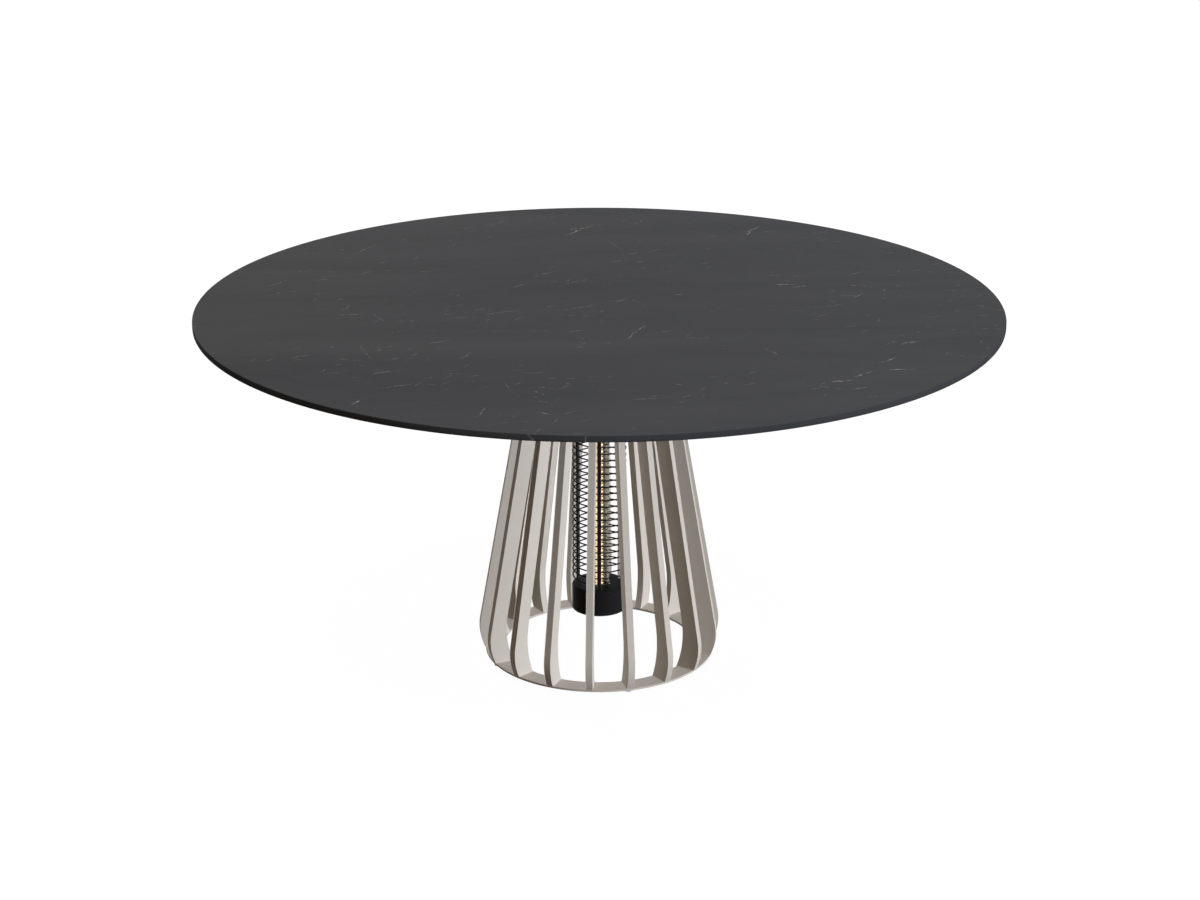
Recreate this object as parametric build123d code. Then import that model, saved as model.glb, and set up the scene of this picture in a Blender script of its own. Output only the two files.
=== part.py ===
from build123d import *
from math import cos, radians, sin, sqrt, tan
import os

# Round dining table: a thin stone top on a flared cage of radial fins, with a
# radiant heater hanging on the axis of the cage. Millimetres, +Z up, origin on
# the floor at the centre of the base. Azimuth 0 faces the front (-Y) and grows
# towards the right (+X).

# Stone top and what it lies on
TABLE_HEIGHT = 740.0
TOP_DIAMETER = 1600.0
SLAB_THICKNESS = 12.0
SLAB_ARRIS = 1.0
PAD_THICKNESS = 2.0
PAD_SIDE = 36.0
OUTER_PAD_CIRCLE = 440.0
OUTER_PAD_COUNT = 10
INNER_PAD_CIRCLE = 200.0
INNER_PAD_COUNT = 5
DISC_DIAMETER = 1000.0
DISC_THICKNESS = 8.0
DISC_BEVEL = 4.0

# Cage of fins between the crown plate and the floor ring
CROWN_WIDTH = 274.0
CROWN_THICKNESS = 10.0
FIN_COUNT = 18
FIRST_FIN_AZIMUTH = -4.8
FIN_THICKNESS = 14.0
FIN_LEAN = 10.15
BELLY_REACH = 248.0
BELLY_HEIGHT = 55.0
BELLY_ARC = 110.0
HOLLOW_REACH = 211.5
HOLLOW_HEIGHT = 79.0
HOLLOW_ARC = 190.0
RING_OUTER_RADIUS = 236.5
RING_INNER_RADIUS = 197.5
RING_THICKNESS = 4.0

# Tabs on the fins, welded into slots of the crown plate and the floor ring
TOP_TAB_CIRCLE = 117.5
TOP_TAB_LENGTH = 20.0
FOOT_TAB_CIRCLE = 217.0
FOOT_TAB_LENGTH = 26.0
TAB_GAP = 0.1

# Levelling feet under four of the fins
FOOT_FINS = (2, 7, 11, 16)
FOOT_CIRCLE = 221.0
FOOT_PAD_WIDTH = 28.0
FOOT_PAD_THICKNESS = 2.7
FOOT_GAP = 0.3
STUD_RADIUS = 4.0
STUD_TOP = 26.0
STUD_GAP = 0.06
STUD_HOLE_TOP = 28.0

# Heater housings
FLANGE_WIDTH = 140.0
FLANGE_THICKNESS = 6.0
FLANGE_BOLT_CIRCLE = 61.5
FLANGE_BOLT_AZIMUTH = 60.0
FLANGE_BOLT_COUNT = 3
FLANGE_BOLT_LENGTH = 14.0
FLANGE_BOLT_RADIUS = 3.0
FLANGE_BOLT_HEAD_WIDTH = 10.0
FLANGE_BOLT_HEAD = 4.0
HOUSING_RADIUS = 55.0
HOUSING_WALL = 2.0
TOP_HOUSING_HEIGHT = 62.0
CUP_RADIUS = 56.0
CUP_BOTTOM = 89.5
CUP_TOP = 139.5
CUP_BEVEL = 0.8
LID_HEIGHT = 3.2
LID_BAND_RADIUS = 54.8
LID_FACE_RADIUS = 54.0
LAMP_HOLE_RADIUS = 22.0

# Guard: one wire wound round three flat bars
BAR_COUNT = 3
BAR_WIDTH = 8.0
BAR_THICKNESS = 4.0
BAR_OUTER_RADIUS = 52.5
BAR_FOOT = 13.5
BAR_SLOT_GAP = 0.2
WIRE_THICKNESS = 3.0
WIRE_BENDS = 15
WIRE_PITCH = 14.2
WIRE_TURNS = 33
WIRE_FIRST_BAR = 2
WIRE_FIRST_HEIGHT = 153.1

# Lamp on the axis
TUBE_RADIUS = 20.5
TUBE_WALL = 1.5
TUBE_SEAT = 10.0
ELEMENT_RADIUS = 8.0
LAMP_CAP_SIDE = 47.0
LAMP_CAP_BASE = 8.0
LAMP_BOTTOM = 118.0
LAMP_TOP = 665.0
BRACKET_SHEET = 2.0
BRACKET_SPAN = 54.0
BRACKET_WIDTH = 22.0
BRACKET_FLANGE = 11.0

# Wiring inside the heater, set out from the second guard bar
SERVICE_AZIMUTH = 120.0
TERMINAL_SIZE = (18.0, 34.0, 16.0)
TERMINAL_CENTRE = 28.0
CUTOUT_SIZE = (14.0, 20.0, 6.0)
CUTOUT_CENTRE = -32.0
LEAD_THICKNESS = 2.0
LEAD_WIDTH = 5.0
LEAD_SLOT_GAP = 0.5
LEAD_CIRCLE = 46.5
LEAD_LOWER_HEIGHT = 122.0
LEAD_UPPER_HEIGHT = 661.0
LEAD_ENTRY_DROP = 10.0
SUPPLY_LEAD_CIRCLE = 31.0
GLAND_AZIMUTH = 185.2
GLAND_DROP = 28.0
GLAND_THREAD_RADIUS = 8.0
GLAND_BORE_RADIUS = 4.5
GLAND_HEX_WIDTH = 19.0
GLAND_HEX_LENGTH = 6.0
GLAND_CAP_WIDTH = 16.0
GLAND_CAP_LENGTH = 14.0
GLAND_INNER_LENGTH = 8.0

# Heights that follow from the sizes above
SLAB_BOTTOM = TABLE_HEIGHT - SLAB_THICKNESS
DISC_TOP = SLAB_BOTTOM - PAD_THICKNESS
CROWN_TOP = DISC_TOP - DISC_THICKNESS
FIN_TOP = CROWN_TOP - CROWN_THICKNESS
RING_BOTTOM = FOOT_PAD_THICKNESS + FOOT_GAP
FIN_FOOT = RING_BOTTOM + RING_THICKNESS
FLANGE_BOTTOM = FIN_TOP - FLANGE_THICKNESS
ROOF = FLANGE_BOTTOM - HOUSING_WALL
TOP_HOUSING_BOTTOM = FLANGE_BOTTOM - TOP_HOUSING_HEIGHT
CUP_FLOOR = CUP_BOTTOM + HOUSING_WALL
HOUSING_BORE = HOUSING_RADIUS - HOUSING_WALL
BAR_CIRCLE = BAR_OUTER_RADIUS - BAR_THICKNESS / 2


def turned(azimuth):
    """Rotation that carries the +X direction to an azimuth round the table."""
    return Rot(0, 0, azimuth - 90)


def fin_azimuth(number):
    return FIRST_FIN_AZIMUTH + 360.0 / FIN_COUNT * (number - 1)


def on_circle(count, radius, first=0.0):
    """Locations at equal steps round the axis, with local +X pointing outwards."""
    return [turned(first + 360.0 / count * step) * Pos(radius, 0, 0) for step in range(count)]


def tube(outer, inner, bottom, top):
    """Upright hollow cylinder on the axis."""
    wall = Circle(outer) - Circle(inner)
    return Pos(0, 0, bottom) * extrude(wall, amount=top - bottom)


def disc(radius, bottom, top):
    """Upright solid cylinder on the axis."""
    return Pos(0, 0, bottom) * extrude(Circle(radius), amount=top - bottom)


def block(length, width, bottom, top):
    """Upright box centred on the axis."""
    return Pos(0, 0, bottom) * extrude(Rectangle(length, width), amount=top - bottom)


def hexagon(width, bottom, top):
    """Upright hexagonal prism on the axis, measured across its flats."""
    outline = RegularPolygon(width / 2, 6, major_radius=False)
    return Pos(0, 0, bottom) * extrude(outline, amount=top - bottom)


def turned_profile(points):
    """Solid of revolution about the axis from radius and height pairs."""
    face = make_face(Polyline(*points, close=True).edges())
    return revolve(Plane.XZ * face, Axis.Z)


def group(solids):
    return Compound(children=[part for solid in solids for part in solid.solids()])


def save(node, shape):
    export_step(shape, f"parts/{node}.step")


# Stone top

def tabletop():
    slab = disc(TOP_DIAMETER / 2, SLAB_BOTTOM, TABLE_HEIGHT)
    return chamfer(slab.edges().filter_by(GeomType.CIRCLE), SLAB_ARRIS)


def slab_pads():
    """Soft pads between the support disc and the stone."""
    pad = block(PAD_SIDE, PAD_SIDE, DISC_TOP, SLAB_BOTTOM)
    outer = on_circle(OUTER_PAD_COUNT, OUTER_PAD_CIRCLE)
    inner = on_circle(INNER_PAD_COUNT, INNER_PAD_CIRCLE)
    return group([place * pad for place in outer + inner])


def flange_bolts():
    """Hex bolts up through the heater flange into the crown plate."""
    shank = disc(FLANGE_BOLT_RADIUS, FLANGE_BOTTOM, FLANGE_BOTTOM + FLANGE_BOLT_LENGTH)
    bolt = shank + hexagon(FLANGE_BOLT_HEAD_WIDTH, FLANGE_BOTTOM - FLANGE_BOLT_HEAD, FLANGE_BOTTOM)
    return [place * bolt for place in on_circle(FLANGE_BOLT_COUNT, FLANGE_BOLT_CIRCLE, FLANGE_BOLT_AZIMUTH)]


def support_disc():
    """Steel disc under the stone, bevelled below so that its edge stays out of sight."""
    plate = disc(DISC_DIAMETER / 2, CROWN_TOP, DISC_TOP)
    return chamfer(plate.edges().filter_by(GeomType.CIRCLE).sort_by(Axis.Z)[0], DISC_BEVEL)


# Cage of fins

def tab(length, bottom, top, gap=0.0):
    """Tab of a fin, or with a gap the slot that takes it."""
    return block(length + 2 * gap, FIN_THICKNESS + 2 * gap, bottom, top)


def fin_slots(length, circle, bottom, top):
    slot = tab(length, bottom, top, TAB_GAP)
    return [place * slot for place in on_circle(FIN_COUNT, circle, FIRST_FIN_AZIMUTH)]


def crown_plate():
    """Plate with one side for each fin, which carries the disc and holds the heater."""
    outline = RegularPolygon(CROWN_WIDTH / 2, FIN_COUNT, major_radius=False)
    first_side = turned(FIRST_FIN_AZIMUTH + 180.0 / FIN_COUNT)
    plate = Pos(0, 0, FIN_TOP) * first_side * extrude(outline, amount=CROWN_THICKNESS)
    return plate - fin_slots(TOP_TAB_LENGTH, TOP_TAB_CIRCLE, FIN_TOP, CROWN_TOP) - flange_bolts()


def fin_outline():
    """Side view of a fin: a leaning strip that rounds into a belly and a wider foot."""
    lean = radians(FIN_LEAN)
    belly = (BELLY_REACH, BELLY_HEIGHT, BELLY_ARC)
    hollow = (HOLLOW_REACH, HOLLOW_HEIGHT, HOLLOW_ARC)
    edges = []
    corners = []
    for reach, height, arc in (belly, hollow):
        centre = reach - arc
        foot = (centre + sqrt(arc ** 2 - (height - FIN_FOOT) ** 2), FIN_FOOT)
        shoulder = (centre + arc * cos(lean), height + arc * sin(lean))
        top = (shoulder[0] - (FIN_TOP - shoulder[1]) * tan(lean), FIN_TOP)
        edges += [ThreePointArc(foot, (reach, height), shoulder), Line(shoulder, top)]
        corners.append((foot, top))
    (outer_foot, outer_top), (inner_foot, inner_top) = corners
    edges += [Line(inner_foot, outer_foot), Line(outer_top, inner_top)]
    return make_face(edges)


def fin_blade():
    blade = extrude(Plane.XZ * fin_outline(), amount=FIN_THICKNESS / 2, both=True)
    top_tab = Pos(TOP_TAB_CIRCLE, 0, 0) * tab(TOP_TAB_LENGTH, FIN_TOP, CROWN_TOP)
    foot_tab = Pos(FOOT_TAB_CIRCLE, 0, 0) * tab(FOOT_TAB_LENGTH, RING_BOTTOM, FIN_FOOT)
    return blade + top_tab + foot_tab


def stud_hole():
    """Hole for a levelling stud, up through the foot tab into the fin."""
    return Pos(FOOT_CIRCLE, 0, 0) * disc(STUD_RADIUS + STUD_GAP, RING_BOTTOM, STUD_HOLE_TOP)


def floor_ring():
    ring = tube(RING_OUTER_RADIUS, RING_INNER_RADIUS, RING_BOTTOM, FIN_FOOT)
    return ring - fin_slots(FOOT_TAB_LENGTH, FOOT_TAB_CIRCLE, RING_BOTTOM, FIN_FOOT)


# Levelling feet

def foot_stud():
    return disc(STUD_RADIUS, FOOT_PAD_THICKNESS, STUD_TOP)


def foot_pad():
    """Hexagonal glide, turned by hand or spanner to set the level."""
    return hexagon(FOOT_PAD_WIDTH, 0, FOOT_PAD_THICKNESS)


# Heater housings and guard

def bar_azimuth(number):
    return 360.0 / BAR_COUNT * (number - 1)


def bar_slots():
    """Openings that let the guard bars through a lid."""
    depth = BAR_THICKNESS + 2 * BAR_SLOT_GAP
    slot = block(depth, BAR_WIDTH + 2 * BAR_SLOT_GAP, CUP_FLOOR, ROOF)
    return [place * slot for place in on_circle(BAR_COUNT, BAR_CIRCLE)]


def guard_bar():
    """Flat bar bent inwards at both ends, welded to the roof above and the cup below."""
    upright = Pos(BAR_CIRCLE, 0, 0) * block(BAR_THICKNESS, BAR_WIDTH, CUP_FLOOR, ROOF)
    foot_place = Pos(BAR_OUTER_RADIUS - BAR_FOOT / 2, 0, 0)
    lower_foot = foot_place * block(BAR_FOOT, BAR_WIDTH, CUP_FLOOR, CUP_FLOOR + BAR_THICKNESS)
    upper_foot = foot_place * block(BAR_FOOT, BAR_WIDTH, ROOF - BAR_THICKNESS, ROOF)
    return upright + lower_foot + upper_foot


def wire_bend(step):
    """Radius, azimuth and height of the wire's middle at one of its bends, counted from its lower end."""
    run = 360.0 / WIRE_BENDS
    radius = (BAR_OUTER_RADIUS + WIRE_THICKNESS / 2) / cos(radians(run / 2))
    azimuth = bar_azimuth(WIRE_FIRST_BAR) + run / 2 - run * step
    return radius, azimuth, WIRE_FIRST_HEIGHT + WIRE_PITCH * (step - 0.5) / WIRE_BENDS


def wire_section(step):
    """Section of the wire at a bend, in the upright plane through the axis."""
    radius, azimuth, height = wire_bend(step)
    width = WIRE_THICKNESS / cos(radians(180.0 / WIRE_BENDS))
    return turned(azimuth) * Pos(radius, 0, height) * (Plane.XZ * Rectangle(width, WIRE_THICKNESS))


def guard_wire():
    """Wire wound up round the bars in straight runs, one of which lies flat on every bar it meets."""
    return loft([wire_section(step) for step in range(WIRE_BENDS * WIRE_TURNS + 2)], ruled=True)


def guard_wire_gap():
    """Least gap from one turn of the wire to another, measured between its bends."""
    bends = [wire_section(step).center() for step in range(WIRE_BENDS * WIRE_TURNS + 2)]
    half_turn = WIRE_BENDS // 2
    reach = [(one - other).length for at, one in enumerate(bends) for other in bends[at + half_turn:]]
    return min(reach) - WIRE_THICKNESS


def heater_flange():
    """Hexagonal mounting plate between the crown plate and the heater."""
    return hexagon(FLANGE_WIDTH, FLANGE_BOTTOM, FIN_TOP) - flange_bolts()


def gland_place():
    return turned(GLAND_AZIMUTH) * Pos(HOUSING_RADIUS, 0, ROOF - GLAND_DROP) * Rot(0, 90, 0)


def heater_top_housing():
    """Deep drawn cover over the lamp's upper end."""
    cover = disc(HOUSING_RADIUS, TOP_HOUSING_BOTTOM, FLANGE_BOTTOM)
    cover -= disc(HOUSING_BORE, TOP_HOUSING_BOTTOM, ROOF)
    entry = disc(GLAND_THREAD_RADIUS, -GLAND_INNER_LENGTH, GLAND_HEX_LENGTH)
    return cover - gland_place() * entry


def bottom_cup():
    """Deep drawn cup over the lamp's lower end."""
    cup = disc(CUP_RADIUS, CUP_BOTTOM, CUP_TOP)
    cup = chamfer(cup.edges().filter_by(GeomType.CIRCLE).sort_by(Axis.Z)[0], CUP_BEVEL)
    return cup - disc(CUP_RADIUS - HOUSING_WALL, CUP_FLOOR, CUP_TOP)


def lid():
    """Bevelled ring that closes a housing round the lamp, seated on z = 0 with its face up."""
    shoulder = LID_HEIGHT - (LID_BAND_RADIUS - LID_FACE_RADIUS)
    return turned_profile([
        (LAMP_HOLE_RADIUS, 0), (LID_BAND_RADIUS, 0), (LID_BAND_RADIUS, shoulder),
        (LID_FACE_RADIUS, LID_HEIGHT), (LAMP_HOLE_RADIUS, LID_HEIGHT),
    ])


def lead_slot():
    depth = LEAD_THICKNESS + 2 * LEAD_SLOT_GAP
    slot = block(depth, LEAD_WIDTH + 2 * LEAD_SLOT_GAP, CUP_FLOOR, ROOF)
    return turned(SERVICE_AZIMUTH) * Pos(LEAD_CIRCLE, 0, 0) * slot


def bottom_lid():
    return Pos(0, 0, CUP_TOP) * lid() - bar_slots() - lead_slot()


def upper_lid():
    return Pos(0, 0, TOP_HOUSING_BOTTOM) * Rot(180, 0, 0) * lid() - bar_slots() - lead_slot()


# Lamp

def quartz_tube():
    seat = LAMP_CAP_BASE
    return tube(TUBE_RADIUS, TUBE_RADIUS - TUBE_WALL, LAMP_BOTTOM + seat, LAMP_TOP - seat)


def heating_element():
    """Glowing core of the lamp, standing between the seats of the two end caps."""
    return disc(ELEMENT_RADIUS, LAMP_BOTTOM + LAMP_CAP_BASE, LAMP_TOP - LAMP_CAP_BASE)


def upside_down():
    """Half turn about the horizontal line at the service azimuth."""
    return turned(SERVICE_AZIMUTH) * Rot(180, 0, 0) * turned(SERVICE_AZIMUTH).inverse()


def lamp_cap():
    """Ceramic end block with a round seat for the tube, base at z = 0."""
    top = LAMP_CAP_BASE + TUBE_SEAT
    cap = block(LAMP_CAP_SIDE, LAMP_CAP_SIDE, 0, top) - disc(TUBE_RADIUS, LAMP_CAP_BASE, top)
    return turned(SERVICE_AZIMUTH) * cap


def lamp_cap_lower():
    return Pos(0, 0, LAMP_BOTTOM) * lamp_cap()


def lamp_cap_upper():
    return Pos(0, 0, LAMP_TOP) * upside_down() * lamp_cap()


def lamp_bracket(height):
    """Folded sheet bracket with its flanges on z = 0 and its seat facing up."""
    seat = block(BRACKET_WIDTH, BRACKET_SPAN, height - BRACKET_SHEET, height)
    half = BRACKET_SPAN / 2
    leg = block(BRACKET_WIDTH, BRACKET_SHEET, 0, height)
    flange = block(BRACKET_WIDTH, BRACKET_FLANGE, 0, BRACKET_SHEET)
    for side in (-1, 1):
        seat += Pos(0, side * (half - BRACKET_SHEET / 2), 0) * leg
        seat += Pos(0, side * (half + BRACKET_FLANGE / 2), 0) * flange
    return turned(SERVICE_AZIMUTH) * seat


def lamp_bracket_lower():
    return Pos(0, 0, CUP_FLOOR) * lamp_bracket(LAMP_BOTTOM - CUP_FLOOR)


def lamp_bracket_upper():
    return Pos(0, 0, ROOF) * upside_down() * lamp_bracket(ROOF - LAMP_TOP)


# Wiring

def terminal_block():
    """Ceramic terminal block under the roof of the upper housing."""
    depth, width, height = TERMINAL_SIZE
    body = Pos(TERMINAL_CENTRE, 0, 0) * block(depth, width, ROOF - height, ROOF)
    return turned(SERVICE_AZIMUTH) * body


def thermal_cutout():
    depth, width, height = CUTOUT_SIZE
    body = Pos(CUTOUT_CENTRE, 0, 0) * block(depth, width, ROOF - height, ROOF)
    return turned(SERVICE_AZIMUTH) * body


def lead(points):
    """Flat sleeved wire along radius and height pairs in the plane of the service azimuth."""
    run = trace(Polyline(*points), LEAD_THICKNESS)
    return turned(SERVICE_AZIMUTH) * extrude(Plane.XZ * run, amount=LEAD_WIDTH / 2, both=True)


def return_lead():
    """Wire from the lamp's lower cap, up behind a guard bar to the terminal block."""
    entry = ROOF - LEAD_ENTRY_DROP
    face = TERMINAL_CENTRE + TERMINAL_SIZE[0] / 2
    return lead([
        (LAMP_CAP_SIDE / 2, LEAD_LOWER_HEIGHT), (LEAD_CIRCLE, LEAD_LOWER_HEIGHT),
        (LEAD_CIRCLE, entry), (face, entry),
    ])


def supply_lead():
    """Wire from the lamp's upper cap to the terminal block above it."""
    return lead([
        (LAMP_CAP_SIDE / 2, LEAD_UPPER_HEIGHT), (SUPPLY_LEAD_CIRCLE, LEAD_UPPER_HEIGHT),
        (SUPPLY_LEAD_CIRCLE, ROOF - TERMINAL_SIZE[2]),
    ])


def cable_gland():
    """Cable gland screwed through the side of the upper housing, open for a cable."""
    end = GLAND_HEX_LENGTH + GLAND_CAP_LENGTH
    body = disc(GLAND_THREAD_RADIUS, -GLAND_INNER_LENGTH, 0)
    body += hexagon(GLAND_HEX_WIDTH, 0, GLAND_HEX_LENGTH)
    body += hexagon(GLAND_CAP_WIDTH, GLAND_HEX_LENGTH, end)
    return gland_place() * (body - disc(GLAND_BORE_RADIUS, -GLAND_INNER_LENGTH, end))


def main():
    os.makedirs("parts", exist_ok=True)
    save("tabletop", tabletop())
    save("slab_pads", slab_pads())
    save("support_disc", support_disc())
    save("crown_plate", crown_plate())
    save("floor_ring", floor_ring())

    blade = fin_blade()
    footed_blade = blade - stud_hole()
    for number in range(1, FIN_COUNT + 1):
        form = footed_blade if number in FOOT_FINS else blade
        save(f"fin_{number:02d}", turned(fin_azimuth(number)) * form)

    for foot, number in enumerate(FOOT_FINS, start=1):
        place = turned(fin_azimuth(number)) * Pos(FOOT_CIRCLE, 0, 0)
        save(f"foot_stud_{foot}", place * foot_stud())
        save(f"foot_pad_{foot}", place * foot_pad())

    save("heater_flange", heater_flange())
    save("flange_bolts", group(flange_bolts()))
    save("heater_top_housing", heater_top_housing())
    save("upper_lid", upper_lid())
    save("bottom_cup", bottom_cup())
    save("bottom_lid", bottom_lid())
    for number in range(1, BAR_COUNT + 1):
        save(f"guard_bar_{number}", turned(bar_azimuth(number)) * guard_bar())
    save("guard_wire", guard_wire())
    print(f"least gap of guard_wire to itself: {guard_wire_gap():.2f} mm")

    save("quartz_tube", quartz_tube())
    save("heating_element", heating_element())
    save("lamp_cap_lower", lamp_cap_lower())
    save("lamp_cap_upper", lamp_cap_upper())
    save("lamp_bracket_lower", lamp_bracket_lower())
    save("lamp_bracket_upper", lamp_bracket_upper())
    save("terminal_block", terminal_block())
    save("thermal_cutout", thermal_cutout())
    save("return_lead", return_lead())
    save("supply_lead", supply_lead())
    save("cable_gland", cable_gland())


main()
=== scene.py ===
from math import asin, cos, pi, radians, sin, tan

import bmesh
import bpy
from mathutils import Matrix, Vector


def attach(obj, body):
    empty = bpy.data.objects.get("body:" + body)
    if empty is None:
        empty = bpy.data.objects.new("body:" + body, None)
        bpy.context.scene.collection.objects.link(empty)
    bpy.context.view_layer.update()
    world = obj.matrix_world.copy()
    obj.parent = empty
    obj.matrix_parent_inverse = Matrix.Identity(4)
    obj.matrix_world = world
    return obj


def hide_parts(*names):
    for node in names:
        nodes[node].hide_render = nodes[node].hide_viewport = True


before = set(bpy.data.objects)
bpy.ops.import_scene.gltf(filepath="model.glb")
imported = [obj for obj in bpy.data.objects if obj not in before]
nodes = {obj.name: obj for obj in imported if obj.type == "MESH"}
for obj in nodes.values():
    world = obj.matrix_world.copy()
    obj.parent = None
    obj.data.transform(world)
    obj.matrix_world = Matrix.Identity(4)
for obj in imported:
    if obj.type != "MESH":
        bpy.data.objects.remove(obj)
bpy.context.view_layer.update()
scene = bpy.context.scene
MM = 0.001


# Sizes in millimetres and azimuths in degrees, as in the solids

TABLE_HEIGHT = 740.0
SLAB_RADIUS = 800.0
SLAB_BOTTOM = 728.0

FIN_COUNT = 18
FIRST_FIN_AZIMUTH = -4.8
FIN_THICKNESS = 14.0
FIN_LEAN = radians(10.15)
# Arc at the foot of a fin's outer and inner edge: widest radius, height of its centre and its own radius
BELLY = (248.0, 55.0, 110.0)
HOLLOW = (211.5, 79.0, 190.0)
FIN_FOOT = 7.0
FIN_TOP = 708.0
CROWN_TOP = 718.0
RING_BOTTOM = 3.0
TOP_TAB = (107.5, 127.5)
FOOT_TAB = (204.0, 230.0)

FOOT_FINS = (2, 7, 11, 16)
FOOT_CIRCLE = 221.0
FOOT_TRAVEL = 8.0
STUD_HOLE = 4.06
STUD_HOLE_TOP = 28.0
STUD_RADIUS = 4.0
STUD_BOTTOM = 2.7
STUD_TOP = 26.0

CUP_RADIUS = 56.0
CUP_BORE = 54.0
CUP_BOTTOM = 89.5
CUP_FLOOR = 91.5
CUP_TOP = 139.5
UPPER_LID_SEAT = 640.0
LID_RADIUS = 54.8
LID_HEIGHT = 3.2
LAMP_HOLE = 22.0

BAR_COUNT = 3
BAR_OUTER = 52.5
BAR_CIRCLE = 50.5
BAR_SLOT = (4.4, 8.4)
LEAD_SLOT = (3.0, 6.0)
LEAD_CIRCLE = 46.5
LEAD_AZIMUTH = 120.0

WIRE_RADIUS = 1.5
WIRE_PITCH = 14.2
WIRE_TURNS = 33
WIRE_FIRST_AZIMUTH = 120.0
WIRE_FIRST_HEIGHT = 153.1

TUBE_RADIUS = 20.5
TUBE_WALL = 1.5
LAMP_FOOT = 126.0
LAMP_HEAD = 657.0
GLOW_FOOT = 137.5
GLOW_HEAD = 645.5
PIN_RADIUS = 4.0


# Details that only this scene has, in the same units

SLAB_ROUND = 1.2
FIN_ARRIS = 0.8
THREAD_PITCH = 1.25
THREAD_DEPTH = 0.7
TIP_ROWS = 2
TIP_TAPER = 0.4
WIRE_LEAD_IN = 12.0
TUBE_ROUND = 0.4
COIL_RADIUS = 6.1
COIL_WIRE = 1.85
COIL_PITCH = 7.1
CORE_RADIUS = 5.0
ROD_ROUND = 0.5
CUTTER_MARGIN = 2.0

# Corners of a lid over its seat, and of the cup: radius, height and rounding
LID_SECTION = (
    (LAMP_HOLE, 0.0, 0.2), (LID_RADIUS - 0.6, 0.0, 0.0), (LID_RADIUS - 0.6, 0.7, 0.1),
    (LID_RADIUS, 0.8, 0.1), (LID_RADIUS, 2.4, 0.4), (LID_RADIUS - 0.8, LID_HEIGHT, 0.4),
    (LAMP_HOLE + 1.8, LID_HEIGHT, 0.3), (LAMP_HOLE + 1.2, 2.6, 0.2), (LAMP_HOLE, 2.6, 0.2),
)
CUP_SECTION = (
    (0.0, CUP_BOTTOM, 0.0), (CUP_RADIUS, CUP_BOTTOM, 0.9), (CUP_RADIUS, CUP_TOP, 1.3),
    (CUP_BORE, CUP_TOP, 0.3), (CUP_BORE, CUP_FLOOR, 1.2), (0.0, CUP_FLOOR, 0.0),
)

# Arris on the CAD nodes that stay in view
ARRISES = {
    "floor_ring": 0.5, "crown_plate": 0.8, "support_disc": 0.5, "heater_flange": 0.6, "cable_gland": 0.4,
    **{f"guard_bar_{bar}": 0.3 for bar in range(1, BAR_COUNT + 1)},
    **{f"foot_pad_{foot}": 0.5 for foot in range(1, len(FOOT_FINS) + 1)},
}
ARRIS_ANGLE = 40.0

# Fineness of the meshes: points round a circle, and steps along an arc or a turn
SLAB_SEGMENTS = 256
FIN_ARC_STEPS = 24
HOLE_SEGMENTS = 32
THREAD_SEGMENTS = 24
THREAD_STEPS = 4
LID_SEGMENTS = 96
CUP_SEGMENTS = 128
CUP_ROUND_STEPS = 4
WIRE_SIDES = 8
WIRE_STEPS = 60
TUBE_SEGMENTS = 64
COIL_SIDES = 8
COIL_STEPS = 24
ROD_SEGMENTS = 32
LAMP_ROUND_STEPS = 2
FLOOR_SEGMENTS = 96


# Mesh helpers

ON_AXIS = 1e-6
SAME_SIDE = 1e-9
CORNER_SHARE = 0.45


def new_object(name, data):
    obj = bpy.data.objects.new(name, data)
    scene.collection.objects.link(obj)
    return obj


def from_bmesh(name, bm):
    bmesh.ops.recalc_face_normals(bm, faces=bm.faces)
    mesh = bpy.data.meshes.new(name)
    bm.to_mesh(mesh)
    bm.free()
    return new_object(name, mesh)


def mesh_of(obj):
    """Takes the mesh from an object that was only there to shape it."""
    mesh = obj.data
    bpy.data.objects.remove(obj)
    return mesh


def smooth(obj, angle=35.0):
    """Smooth shading, up to an angle between faces."""
    obj.data.shade_smooth()
    obj.data.set_sharp_from_angle(angle=radians(angle))


def softened(points, radius=0.0, steps=3):
    """Closed outline with each corner rounded to a radius, or to its own where a point has a third number."""
    out = []
    for at, point in enumerate(points):
        corner = Vector(point[:2])
        before = Vector(points[at - 1][:2]) - corner
        after = Vector(points[(at + 1) % len(points)][:2]) - corner
        size = point[2] if len(point) > 2 else radius
        if size == 0.0:
            out.append(tuple(corner))
            continue
        turn = before.angle(after)
        reach = min(size / tan(turn / 2), before.length * CORNER_SHARE, after.length * CORNER_SHARE)
        start = corner + before.normalized() * reach
        end = corner + after.normalized() * reach
        for step in range(steps + 1):
            t = step / steps
            out.append(tuple((1 - t) ** 2 * start + 2 * t * (1 - t) * corner + t ** 2 * end))
    return out


def skin(name, rings, closed):
    """Solid over rings of points; the last ring joins the first, or else both are capped."""
    bm = bmesh.new()
    rings = [[bm.verts.new(Vector(point) * MM) for point in ring] for ring in rings]
    count = max(len(ring) for ring in rings)
    for ring, other in zip(rings, rings[1:] + rings[:1] if closed else rings[1:]):
        if len(ring) == 1 and len(other) == 1:
            continue
        for k in range(count):
            n = (k + 1) % count
            quad = ring[k % len(ring)], ring[n % len(ring)], other[n % len(other)], other[k % len(other)]
            bm.faces.new(list(dict.fromkeys(quad)))
    if not closed:
        bm.faces.new(rings[0])
        bm.faces.new(rings[-1])
    return from_bmesh(name, bm)


def lathe(name, outline, segments):
    """Solid of revolution from a closed outline of radius and height pairs; points on the axis close it."""
    turns = [2 * pi * k / segments for k in range(segments)]
    rings = []
    for radius, height in outline:
        if radius < ON_AXIS:
            rings.append([(0.0, 0.0, height)])
        else:
            rings.append([(radius * cos(a), radius * sin(a), height) for a in turns])
    return skin(name, rings, closed=True)


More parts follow.
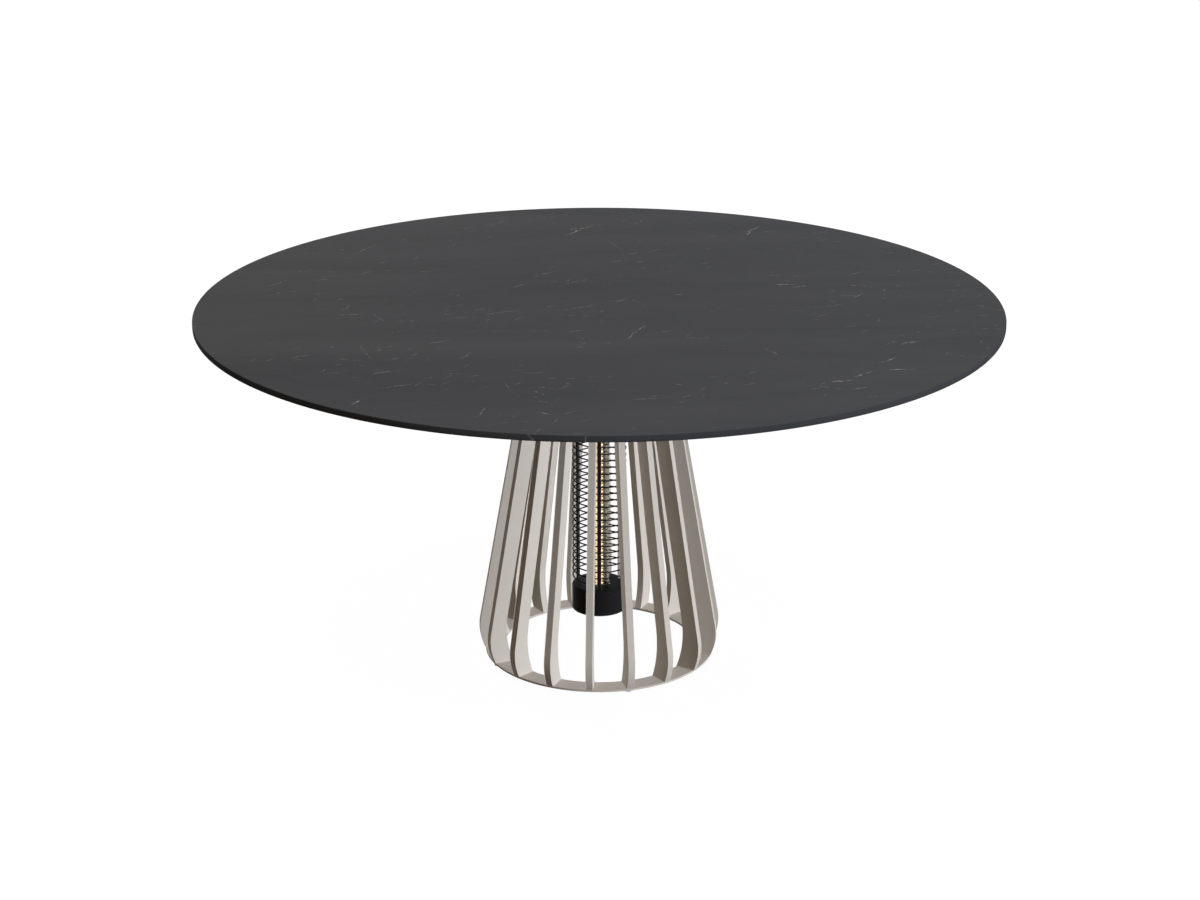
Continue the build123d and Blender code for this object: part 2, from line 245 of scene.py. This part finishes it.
def tube_along(name, points, radius, sides):
    """Round wire along points, whose sections stand in the upright plane through the axis."""
    turns = [2 * pi * k / sides for k in range(sides)]
    rings = []
    for x, y, z in points:
        out = Vector((x, y, 0)).normalized()
        rings.append([
            Vector((x, y, z)) + out * radius * cos(a) + Vector((0, 0, radius * sin(a))) for a in turns
        ])
    return skin(name, rings, closed=False)


def around(radius, azimuth, height):
    """Point on a circle round the axis; azimuth 0 is the front and 90 the right."""
    a = radians(azimuth)
    return radius * sin(a), -radius * cos(a), height


def helix(radius, pitch, first_azimuth, first_height, turns, steps):
    """Left-handed winding that rises as its azimuth falls."""
    count = round(turns * steps)
    return [around(radius, first_azimuth - 360.0 * k / steps, first_height + pitch * k / steps)
            for k in range(count + 1)]


def cut(obj, cutters):
    """Takes each cutter's shape out of a piece, and then removes the cutters."""
    for cutter in cutters:
        tool = obj.modifiers.new("cut", "BOOLEAN")
        tool.operation = "DIFFERENCE"
        tool.solver = "EXACT"
        tool.object = cutter
        depsgraph = bpy.context.evaluated_depsgraph_get()
        mesh = bpy.data.meshes.new_from_object(obj.evaluated_get(depsgraph))
        obj.modifiers.clear()
        old = obj.data
        obj.data = mesh
        mesh.name = old.name
        bpy.data.meshes.remove(old)
    for cutter in cutters:
        bpy.data.meshes.remove(mesh_of(cutter))


def cutter_block(length, width, bottom, top, azimuth, circle):
    """Box standing on a circle round the axis, its length pointing outwards."""
    bm = bmesh.new()
    bmesh.ops.create_cube(bm, size=1.0)
    size = Matrix.Diagonal((length * MM, width * MM, (top - bottom) * MM, 1.0))
    place = Matrix.Translation((circle * MM, 0, (top + bottom) / 2 * MM))
    turn = Matrix.Rotation(radians(azimuth - 90), 4, "Z")
    bmesh.ops.transform(bm, matrix=turn @ place @ size, verts=bm.verts)
    return from_bmesh("cutter", bm)


# Node helpers for the materials and the sky

NOISE_RANGE = (0.3, 0.7)


def rgb(r, g, b):
    return (r, g, b, 1.0)


def grey(level):
    return rgb(level, level, level)


class Nodes:
    """Node tree of a material or of the world."""

    def __init__(self, owner):
        owner.use_nodes = True
        self.tree = owner.node_tree

    def node(self, kind, **settings):
        made = self.tree.nodes.new(kind)
        for key, value in settings.items():
            setattr(made, key, value)
        return made

    def link(self, source, target):
        self.tree.links.new(source, target)

    def put(self, target, value):
        """Links an input to a socket, or sets it to a value."""
        if isinstance(value, bpy.types.NodeSocket):
            self.link(value, target)
        else:
            target.default_value = value

    def fill(self, made, **inputs):
        """Puts inputs by name, with _ for a blank."""
        for name, value in inputs.items():
            self.put(made.inputs[name.replace("_", " ")], value)

    def math(self, operation, first, second):
        made = self.node("ShaderNodeMath", operation=operation)
        self.put(made.inputs[0], first)
        self.put(made.inputs[1], second)
        return made.outputs["Value"]

    def seen(self):
        """1 on rays that show a thing, straight, in a gloss or through glass, and 0 on those that light."""
        rays = self.node("ShaderNodeLightPath").outputs
        clear = self.math("MAXIMUM", rays["Is Glossy Ray"], rays["Is Transmission Ray"])
        return self.math("MAXIMUM", rays["Is Camera Ray"], clear)


class Shader(Nodes):
    """Material with a principled shader, built node by node."""

    def __init__(self, name, **sockets):
        self.material = bpy.data.materials.new(name)
        super().__init__(self.material)
        self.bsdf = self.tree.nodes["Principled BSDF"]
        self.fill(self.bsdf, **sockets)
        self.coords = self.node("ShaderNodeTexCoord").outputs["Object"]

    def feed(self, **sockets):
        self.fill(self.bsdf, **sockets)

    def vector(self, operation, *values, output="Vector"):
        made = self.node("ShaderNodeVectorMath", operation=operation)
        for socket, value in zip(made.inputs, values):
            self.put(socket, value)
        return made.outputs[output]

    def length(self, vector):
        return self.vector("LENGTH", vector, output="Value")

    def mapped(self, scale):
        made = self.node("ShaderNodeMapping")
        self.fill(made, Vector=self.coords, Scale=scale)
        return made.outputs["Vector"]

    def from_axis(self):
        """Distance from the upright axis."""
        return self.length(self.mapped((1, 1, 0)))

    def stretched(self, size, direction, source=None, place=(0, 0, 0)):
        """Coordinates drawn out along a direction in the plane, in units of the two sizes."""
        made = self.node("ShaderNodeMapping", vector_type="TEXTURE")
        self.fill(made, Vector=source or self.coords, Location=place, Rotation=(0, 0, radians(direction)),
                  Scale=(*size, 1))
        return made.outputs["Vector"]

    def warped(self, scale, amount, source=None):
        """Coordinates pushed about by a noise."""
        shift = self.vector("ADD", source or self.coords, (-amount / 2, -amount / 2, 0))
        return self.vector(
            "MULTIPLY_ADD", self.noise(scale, detail=3.0, output="Color"), (amount, amount, 0), shift,
        )

    def noise(self, scale, detail=2.0, rough=0.5, vector=None, warp=0.0, output="Fac"):
        made = self.node("ShaderNodeTexNoise")
        self.fill(made, Vector=vector or self.coords, Scale=scale, Detail=detail, Roughness=rough,
                  Distortion=warp)
        return made.outputs[output]

    def span(self, value, low, high, to_low=0.0, to_high=1.0, soft=False):
        """Takes one range of values to another, and holds what lies beyond."""
        made = self.node("ShaderNodeMapRange", interpolation_type="SMOOTHSTEP" if soft else "LINEAR")
        self.fill(made, Value=value, From_Min=low, From_Max=high, To_Min=to_low, To_Max=to_high)
        return made.outputs["Result"]

    def spread(self, noise, to_low=0.0, to_high=1.0):
        """Takes the usual range of a noise to another."""
        return self.span(noise, *NOISE_RANGE, to_low, to_high)

    def mix(self, factor, first, second):
        made = self.node("ShaderNodeMix", data_type="RGBA")
        self.put(made.inputs["Factor"], factor)
        self.put(made.inputs[6], first)
        self.put(made.inputs[7], second)
        return made.outputs[2]

    def bump(self, height, strength, distance):
        made = self.node("ShaderNodeBump")
        self.fill(made, Strength=strength, Distance=distance, Height=height)
        return made.outputs["Normal"]


# Stone

# Veins that stand out: place of the middle, length in millimetres, direction in degrees and brightness
VEINS = (
    (-44, 594, 150, 60, 0.75), (-55, 601, 44, 36, 0.6), (335, 578, 136, 64, 0.7),
    (-162, 139, 50, 56, 0.35), (75, -195, 130, 64, 0.6), (42, 28, 46, 52, 0.4),
    (79, 12, 62, -56, 0.2), (374, 144, 80, 6, 0.8), (412, 130, 46, 31, 0.5),
    (532, 133, 66, -14, 0.6), (520, 64, 50, 43, 0.4), (481, -460, 82, 42, 0.6),
    (546, -430, 76, 14, 0.6), (430, -502, 54, 13, 0.6), (535, -368, 62, 41, 0.5),
    (321, -325, 106, -64, 0.16), (-420, -615, 54, 66, 0.75), (-366, -528, 100, 24, 0.35),
    (-436, -320, 116, -73, 0.18), (-405, -306, 84, 44, 0.3), (-501, 428, 110, 68, 0.3),
    (-105, -565, 58, -55, 0.3), (-166, -533, 94, -80, 0.16), (-488, -74, 82, 5, 0.4),
    (-430, -101, 72, -61, 0.25), (-111, 228, 104, 35, 0.3), (27, 472, 200, -70, 0.15),
    (161, 72, 32, 22, 0.5), (85, -602, 118, 11, 0.2), (-199, -670, 50, 83, 0.4),
    (-190, -56, 98, 26, 0.3), (586, -262, 52, 39, 0.5),
)
VEIN_WIDTH = 1.45
VEIN_GAIN = 1.4
STROKE_CORE = 0.2

# Hairlines: size of a cell, length and width in millimetres, share of the cells that have one, and brightness
FLECKS = ((85.0, 70.0, 1.1, 0.38, 0.42), (36.0, 30.0, 0.9, 0.40, 0.42))
FLECK_LEAN = (-70.0, 20.0)
FLECK_ONSET = 0.01

# Band at the rim, from its start to its end in millimetres in from the edge, and the share by which its
# colour is darkened towards black
DARK_EDGE_BAND = (1.5, 0.3)
DARK_EDGE_SHARE = 0.38


def stroke(s, vector, brightness):
    """Spot of a radius of 1 in its own coordinates, which fades from its core."""
    return s.span(s.length(vector), STROKE_CORE, 1.0, brightness, 0.0, soft=True)


def flecks(s, source, cell, length, width, share, brightness):
    """Short hairlines, one in a share of the cells of a random net, which mostly lean one way."""
    net = s.node("ShaderNodeTexVoronoi", voronoi_dimensions="2D")
    s.fill(net, Vector=source, Scale=1.0 / (cell * MM))
    dice = s.node("ShaderNodeSeparateColor")
    s.fill(dice, Color=net.outputs["Color"])
    lean = s.span(dice.outputs["Red"], 0.0, 1.0, *map(radians, FLECK_LEAN))
    turned = s.node("ShaderNodeVectorRotate", rotation_type="Z_AXIS")
    s.fill(turned, Vector=s.vector("SUBTRACT", source, net.outputs["Position"]), Angle=lean)
    drawn = s.vector("MULTIPLY", turned.outputs["Vector"], (2.0 / (length * MM), 1.0 / (width * MM), 0))
    chosen = s.span(dice.outputs["Green"], 1.0 - share, 1.0 - share + FLECK_ONSET)
    return s.math("MULTIPLY", stroke(s, drawn, brightness), chosen)


def stone():
    """Honed charcoal stone with hairline veins that break off, and a band at the rim that is darker towards
    the edge.
    """
    s = Shader("stone_top", Specular_IOR_Level=0.0015)
    cloud = s.noise(2.6, detail=6.0, rough=0.62, vector=s.stretched((2.6, 0.55), 6.0), warp=0.4)
    grain = s.noise(260.0, detail=3.0, rough=0.6)
    body = s.mix(s.spread(cloud), rgb(0.0582, 0.0622, 0.0672), rgb(0.0740, 0.0786, 0.0842))
    body = s.mix(s.span(grain, 0.4, 0.8, 0.0, 0.16), body, grey(0.10))
    warped = s.warped(110.0, 0.006, s.warped(28.0, 0.022, s.warped(9.0, 0.020)))
    ragged = s.span(s.noise(80.0, rough=0.6), 0.40, 0.56, 0.08, 1.0, soft=True)
    veins = None
    for x, y, length, direction, brightness in VEINS:
        size = (length / 2 * MM, VEIN_WIDTH * MM)
        local = s.stretched(size, direction, warped, (x * MM, y * MM, TABLE_HEIGHT * MM))
        vein = stroke(s, local, min(1.0, VEIN_GAIN * brightness))
        veins = s.math("MAXIMUM", veins, vein) if veins else vein
    veins = s.math("MULTIPLY", veins, ragged)
    clusters = s.span(s.noise(5.0), 0.46, 0.58, 0.1, 1.0, soft=True)
    for sizes in FLECKS:
        small = s.math("MULTIPLY", flecks(s, warped, *sizes), clusters)
        veins = s.math("MAXIMUM", veins, s.math("MULTIPLY", small, ragged))
    body = s.mix(veins, body, rgb(0.44, 0.44, 0.43))
    # Colour darkened towards black across the band at the rim
    band = [(SLAB_RADIUS - inset) * MM for inset in DARK_EDGE_BAND]
    rim_darkening = s.span(s.from_axis(), *band, 0.0, DARK_EDGE_SHARE)
    s.feed(
        Base_Color=s.mix(rim_darkening, body, grey(0.002)),
        Roughness=s.spread(s.noise(90.0, detail=3.0, rough=0.6), 0.50, 0.62),
        Normal=s.bump(grain, strength=0.10, distance=0.0002),
    )
    return s.material


# Other materials

def powder_coat(name, dark, light, rough, peel, level):
    """Sprayed coat with an orange peel and a faint drift in tone."""
    s = Shader(name, Specular_IOR_Level=level)
    s.feed(
        Base_Color=s.mix(s.spread(s.noise(9.0, detail=3.0, rough=0.55)), dark, light),
        Roughness=s.spread(s.noise(160.0), rough - 0.05, rough + 0.05),
        Normal=s.bump(s.noise(850.0), strength=peel, distance=0.0002),
    )
    return s.material


def zinc():
    """Zinc-plated steel with a fine spangle."""
    s = Shader("zinc_steel", Metallic=1.0)
    spangle = s.noise(220.0, detail=3.0, rough=0.6)
    s.feed(
        Base_Color=s.mix(s.spread(spangle), rgb(0.52, 0.53, 0.55), rgb(0.68, 0.69, 0.70)),
        Roughness=s.spread(spangle, 0.28, 0.42),
        Normal=s.bump(s.noise(600.0), strength=0.06, distance=0.0001),
    )
    return s.material


def moulded(name, dark, light, rough):
    """Moulded or fired part, faintly mottled."""
    s = Shader(name, Specular_IOR_Level=0.4)
    s.feed(
        Base_Color=s.mix(s.spread(s.noise(120.0, detail=4.0, rough=0.6)), dark, light),
        Roughness=s.spread(s.noise(300.0), rough - 0.06, rough + 0.06),
        Normal=s.bump(s.noise(1400.0), strength=0.08, distance=0.0001),
    )
    return s.material


def quartz():
    """Clear tube, faintly smoked."""
    s = Shader("quartz", Transmission_Weight=1.0, IOR=1.46)
    smoke = s.noise(14.0, detail=3.0, vector=s.mapped((1, 1, 0.25)))
    s.feed(
        Base_Color=s.mix(s.spread(smoke), rgb(0.46, 0.44, 0.39), rgb(0.54, 0.52, 0.46)),
        Roughness=s.spread(smoke, 0.0, 0.015),
    )
    return s.material


def glow(name, ember, cool, hot, strengths):
    """Red-hot wire, brightest on the outside of the coil, round a core that only smoulders."""
    s = Shader(name, Roughness=0.6)
    drift = s.spread(s.noise(30.0, vector=s.mapped((1, 1, 0.4))))
    heat = s.span(s.from_axis(), CORE_RADIUS * MM, (COIL_RADIUS + 0.3) * MM, soft=True)
    s.feed(
        Emission_Color=s.mix(heat, ember, s.mix(drift, cool, hot)),
        Emission_Strength=s.span(heat, 0.0, 1.0, *strengths),
        Base_Color=s.mix(drift, rgb(0.5, 0.42, 0.34), rgb(0.6, 0.52, 0.44)),
    )
    return s.material


def sleeve():
    """Braided glass-fibre sleeve."""
    s = Shader("lead_sleeve", Roughness=0.75, Specular_IOR_Level=0.25)
    strands = []
    for turn in (45.0, -45.0):
        tilt = s.node("ShaderNodeMapping")
        s.fill(tilt, Vector=s.coords, Rotation=(0, radians(turn), 0))
        strand = s.node("ShaderNodeTexWave", wave_type="BANDS", bands_direction="X")
        s.fill(strand, Vector=tilt.outputs["Vector"], Scale=260.0)
        strands.append(strand.outputs["Fac"])
    braid = s.math("MAXIMUM", *strands)
    s.feed(
        Base_Color=s.mix(braid, rgb(0.42, 0.40, 0.36), rgb(0.66, 0.64, 0.58)),
        Normal=s.bump(braid, strength=0.3, distance=0.0003),
    )
    return s.material


MATERIALS = {
    "stone_top": stone(),
    "cage_coat": powder_coat(
        "cage_coat", rgb(0.55, 0.507, 0.448), rgb(0.575, 0.531, 0.470),
        rough=0.55, peel=0.08, level=0.10,
    ),
    "black_coat": powder_coat(
        "black_coat", rgb(0.0125, 0.0125, 0.013), rgb(0.016, 0.016, 0.0166),
        rough=0.34, peel=0.10, level=0.012,
    ),
    "zinc_steel": zinc(),
    "nylon_foot": moulded("nylon_foot", rgb(0.70, 0.68, 0.64), rgb(0.76, 0.74, 0.70), rough=0.5),
    "silicone_pad": moulded("silicone_pad", grey(0.42), grey(0.50), rough=0.55),
    "quartz": quartz(),
    "glowing_element": glow(
        "glowing_element", ember=rgb(1.0, 0.45, 0.17), cool=rgb(1.0, 0.73, 0.43), hot=rgb(1.0, 0.83, 0.57),
        strengths=(0.8, 2.1),
    ),
    "white_ceramic": moulded("white_ceramic", rgb(0.68, 0.66, 0.61), rgb(0.76, 0.74, 0.69), rough=0.45),
    "black_plastic": moulded("black_plastic", grey(0.012), grey(0.020), rough=0.5),
    "lead_sleeve": sleeve(),
}


def piece(obj, slot, *replaced, body="table"):
    """Gives a new piece its finish, its body and the nodes that it stands for."""
    obj.data.materials.clear()
    obj.data.materials.append(MATERIALS[slot])
    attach(obj, body)
    if replaced:
        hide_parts(*replaced)


# CAD nodes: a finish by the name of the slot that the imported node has, and a fine arris where one shows

for obj in nodes.values():
    for holder in obj.material_slots:
        holder.material = MATERIALS[holder.material.name.split(".")[0]]

for name, size in ARRISES.items():
    arris = nodes[name].modifiers.new("arris", "BEVEL")
    arris.width = size * MM
    arris.segments = 2
    arris.limit_method = "ANGLE"
    arris.angle_limit = radians(ARRIS_ANGLE)
    arris.harden_normals = True


# Stone top

slab_outline = softened([
    (0.0, SLAB_BOTTOM, 0.0), (SLAB_RADIUS, SLAB_BOTTOM),
    (SLAB_RADIUS, TABLE_HEIGHT), (0.0, TABLE_HEIGHT, 0.0),
], SLAB_ROUND)
slab = lathe("tabletop_slab", slab_outline, SLAB_SEGMENTS)
smooth(slab)
piece(slab, "stone_top", "tabletop")


# Fins

def fin_edge(reach, height, arc):
    """Edge of a fin from its foot up: an arc and then a straight lean."""
    centre = reach - arc
    first = asin((FIN_FOOT - height) / arc)
    points = []
    for step in range(FIN_ARC_STEPS + 1):
        a = first + (FIN_LEAN - first) * step / FIN_ARC_STEPS
        points.append((centre + arc * cos(a), height + arc * sin(a)))
    x, z = points[-1]
    points.append((x - (FIN_TOP - z) * tan(FIN_LEAN), FIN_TOP))
    return points


def tab(reaches, root, end):
    """Corners of a tab at one end of a fin."""
    first, last = reaches
    return [(first, root), (first, end), (last, end), (last, root)]


def fin_mesh(name, holed):
    """Plate with a tab at each end and fine arrises, and with a hole for the stud where a foot goes in."""
    rim = tab(FOOT_TAB, FIN_FOOT, RING_BOTTOM) + fin_edge(*BELLY)
    rim += tab(TOP_TAB[::-1], FIN_TOP, CROWN_TOP) + fin_edge(*HOLLOW)[::-1]
    bm = bmesh.new()
    half = FIN_THICKNESS / 2 * MM
    sides = [[bm.verts.new((x * MM, y, z * MM)) for x, z in rim] for y in (-half, half)]
    for side in sides:
        bm.faces.new(side)
    for k in range(len(rim)):
        n = (k + 1) % len(rim)
        bm.faces.new((sides[0][k], sides[0][n], sides[1][n], sides[1][k]))
    bm.normal_update()
    arrises = [e for e in bm.edges if abs(e.verts[0].co.y - e.verts[1].co.y) < SAME_SIDE]
    bmesh.ops.bevel(bm, geom=arrises, offset=FIN_ARRIS * MM, segments=2, profile=0.5, affect="EDGES",
                    clamp_overlap=True)
    blade = from_bmesh(name, bm)
    if holed:
        bore = [(0.0, 0.0), (STUD_HOLE, 0.0), (STUD_HOLE, STUD_HOLE_TOP), (0.0, STUD_HOLE_TOP)]
        hole = lathe("cutter", bore, HOLE_SEGMENTS)
        hole.data.transform(Matrix.Translation((FOOT_CIRCLE * MM, 0, 0)))
        cut(blade, [hole])
    smooth(blade, angle=30.0)
    return mesh_of(blade)


def fin_azimuth(number):
    return FIRST_FIN_AZIMUTH + 360.0 / FIN_COUNT * (number - 1)


plain_fin = fin_mesh("fin_blade", holed=False)
holed_fin = fin_mesh("fin_blade_with_stud_hole", holed=True)
for number in range(1, FIN_COUNT + 1):
    fin = new_object(f"fin_blade_{number:02d}", holed_fin if number in FOOT_FINS else plain_fin)
    fin.rotation_euler = (0, 0, radians(fin_azimuth(number) - 90))
    settle = fin.modifiers.new("even_normals", "WEIGHTED_NORMAL")
    settle.keep_sharp = True
    piece(fin, "cage_coat", f"fin_{number:02d}")


# Levelling feet

def thread_mesh(name):
    """Screw thread on a stud, which rises as it turns, with a plain neck of one turn and a tapered tip."""
    rows = round((STUD_TOP - STUD_BOTTOM) / THREAD_PITCH * THREAD_STEPS)
    rings = []
    for row in range(rows + 1):
        height = STUD_BOTTOM + (STUD_TOP - STUD_BOTTOM) * row / rows
        at_tip = max(0, row - rows + TIP_ROWS)
        taper = THREAD_DEPTH + TIP_TAPER * at_tip if at_tip else 0.0
        ring = []
        for k in range(THREAD_SEGMENTS):
            turn = ((height - STUD_BOTTOM) / THREAD_PITCH - k / THREAD_SEGMENTS) % 1.0
            groove = THREAD_DEPTH * (1.0 - abs(2.0 * turn - 1.0)) if row > THREAD_STEPS else 0.0
            radius = STUD_RADIUS - max(groove, taper)
            a = 2 * pi * k / THREAD_SEGMENTS
            ring.append((radius * cos(a), radius * sin(a), height))
        rings.append(ring)
    stud = skin(name, rings, closed=False)
    smooth(stud, angle=40.0)
    return mesh_of(stud)


thread = thread_mesh("foot_thread")
for foot, number in enumerate(FOOT_FINS, start=1):
    stud = new_object(f"foot_thread_{foot}", thread)
    stud.location = Vector(around(FOOT_CIRCLE, fin_azimuth(number), 0.0)) * MM
    piece(stud, "zinc_steel", f"foot_stud_{foot}", body=f"foot_{foot}")


# Heater housings

def lid(name, node, seat, way):
    """Lid on its seat at a height, with its face up (way 1) or down (way -1)."""
    outline = softened([(radius, seat + way * height, rounding) for radius, height, rounding in LID_SECTION])
    ring = lathe(name, outline, LID_SEGMENTS)
    low, high = sorted((seat - way * CUTTER_MARGIN, seat + way * (LID_HEIGHT + CUTTER_MARGIN)))
    azimuths = [360.0 / BAR_COUNT * k for k in range(BAR_COUNT)]
    cutters = [cutter_block(*BAR_SLOT, low, high, azimuth, BAR_CIRCLE) for azimuth in azimuths]
    cutters.append(cutter_block(*LEAD_SLOT, low, high, LEAD_AZIMUTH, LEAD_CIRCLE))
    cut(ring, cutters)
    smooth(ring, angle=30.0)
    piece(ring, "black_coat", node)


lid("heater_bottom_lid", "bottom_lid", CUP_TOP, 1)
lid("heater_upper_lid", "upper_lid", UPPER_LID_SEAT, -1)

cup = lathe("heater_cup", softened(CUP_SECTION, steps=CUP_ROUND_STEPS), CUP_SEGMENTS)
smooth(cup, angle=30.0)
piece(cup, "black_coat", "bottom_cup")


# Guard wire, wound round the bars

winding = helix(
    BAR_OUTER + WIRE_RADIUS, WIRE_PITCH,
    first_azimuth=WIRE_FIRST_AZIMUTH + WIRE_LEAD_IN,
    first_height=WIRE_FIRST_HEIGHT - WIRE_PITCH * WIRE_LEAD_IN / 360.0,
    turns=WIRE_TURNS + 2 * WIRE_LEAD_IN / 360.0, steps=WIRE_STEPS,
)
wire = tube_along("guard_spiral", winding, WIRE_RADIUS, WIRE_SIDES)
smooth(wire, angle=60.0)
piece(wire, "black_coat", "guard_wire")


# Lamp: quartz tube, glowing coil and the core that carries it

tube_outline = softened([
    (TUBE_RADIUS - TUBE_WALL, LAMP_FOOT), (TUBE_RADIUS, LAMP_FOOT), (TUBE_RADIUS, LAMP_HEAD),
    (TUBE_RADIUS - TUBE_WALL, LAMP_HEAD),
], TUBE_ROUND, LAMP_ROUND_STEPS)
glass = lathe("lamp_tube", tube_outline, TUBE_SEGMENTS)
smooth(glass)
piece(glass, "quartz", "quartz_tube")

coil_turns = (GLOW_HEAD - GLOW_FOOT - 2 * COIL_WIRE) / COIL_PITCH
coil_path = helix(COIL_RADIUS, COIL_PITCH, 0.0, GLOW_FOOT + COIL_WIRE, coil_turns, COIL_STEPS)
coil = tube_along("lamp_coil", coil_path, COIL_WIRE, COIL_SIDES)
smooth(coil, angle=70.0)
piece(coil, "glowing_element", "heating_element")


def lamp_rod(name, slot, radius, bottom, top):
    """Round length of the lamp's core."""
    corners = [(0.0, bottom, 0.0), (radius, bottom), (radius, top), (0.0, top, 0.0)]
    rod = lathe(name, softened(corners, ROD_ROUND, LAMP_ROUND_STEPS), ROD_SEGMENTS)
    smooth(rod)
    piece(rod, slot, "heating_element")


lamp_rod("lamp_core", "glowing_element", CORE_RADIUS, GLOW_FOOT, GLOW_HEAD)
lamp_rod("lamp_pin_lower", "zinc_steel", PIN_RADIUS, LAMP_FOOT, GLOW_FOOT)
lamp_rod("lamp_pin_upper", "zinc_steel", PIN_RADIUS, GLOW_HEAD, LAMP_HEAD)


# Floor, light and camera, in metres

FLOOR_RADIUS = 9.0
LAMP_DISTANCE = 4.0
SENSOR_WIDTH = 36.0
LENS = 73.53
SHIFT_X = 0.00062
EYE = (0.0, -4.68978, 2.08907)
TARGET = (0.0, 0.0, 0.43238)


def floor(shade, lift):
    """White floor that takes a faint shadow, at the level of the feet at their longest."""
    bm = bmesh.new()
    bmesh.ops.create_circle(bm, cap_ends=True, segments=FLOOR_SEGMENTS, radius=FLOOR_RADIUS)
    obj = from_bmesh("floor", bm)
    obj.location.z = -FOOT_TRAVEL * MM
    material = bpy.data.materials.new("floor_white")
    n = Nodes(material)
    n.tree.nodes.clear()
    paint = n.node("ShaderNodeBsdfDiffuse")
    n.fill(paint, Color=grey(shade))
    light = n.node("ShaderNodeEmission")
    n.fill(light, Color=grey(1.0), Strength=n.math("MULTIPLY", n.seen(), lift))
    both = n.node("ShaderNodeAddShader")
    n.link(paint.outputs["BSDF"], both.inputs[0])
    n.link(light.outputs["Emission"], both.inputs[1])
    n.link(both.outputs["Shader"], n.node("ShaderNodeOutputMaterial").inputs["Surface"])
    obj.data.materials.append(material)


def sky(ambient, tint):
    """White where it is seen, and a dim fill where it lights the table."""
    scene.world = bpy.data.worlds.new("studio")
    n = Nodes(scene.world)
    n.tree.nodes.clear()
    white = n.node("ShaderNodeBackground")
    n.fill(white, Color=grey(1.0), Strength=1.0)
    dim = n.node("ShaderNodeBackground")
    n.fill(dim, Color=rgb(*tint), Strength=ambient)
    either = n.node("ShaderNodeMixShader")
    n.fill(either, Fac=n.seen())
    n.link(dim.outputs["Background"], either.inputs[1])
    n.link(white.outputs["Background"], either.inputs[2])
    n.link(either.outputs["Shader"], n.node("ShaderNodeOutputWorld").inputs["Surface"])


def look_at(obj, target):
    obj.rotation_euler = (Vector(target) - obj.location).to_track_quat("-Z", "Y").to_euler()


def sun(name, azimuth, elevation, level, spread, shadow, tint=(1, 1, 1)):
    """Even light from a side; a level of 1 shows a facing surface at its own colour."""
    data = bpy.data.lights.new(name, "SUN")
    data.energy = level * pi
    data.angle = radians(spread)
    data.color = tint
    data.use_shadow = shadow
    obj = new_object(name, data)
    a, e = radians(azimuth), radians(elevation)
    obj.location = Vector((sin(a) * cos(e), -cos(a) * cos(e), sin(e))) * LAMP_DISTANCE
    look_at(obj, (0, 0, 0))


floor(shade=0.14, lift=0.92)
sky(0.22, (1.0, 0.70, 0.45))
sun("key_right", azimuth=61.0, elevation=20.0, level=1.05, spread=8.0, shadow=False, tint=(0.95, 1.0, 1.09))
sun("top_soft", azimuth=20.0, elevation=75.0, level=0.28, spread=50.0, shadow=True)
sun("back_soft", azimuth=205.0, elevation=8.0, level=0.32, spread=40.0, shadow=True)

camera = bpy.data.cameras.new("camera")
camera.sensor_fit = "HORIZONTAL"
camera.sensor_width = SENSOR_WIDTH
camera.lens = LENS
camera.shift_x = SHIFT_X
eye = new_object("camera", camera)
eye.location = EYE
look_at(eye, TARGET)
scene.camera = eye
scene.view_settings.view_transform = "Standard"
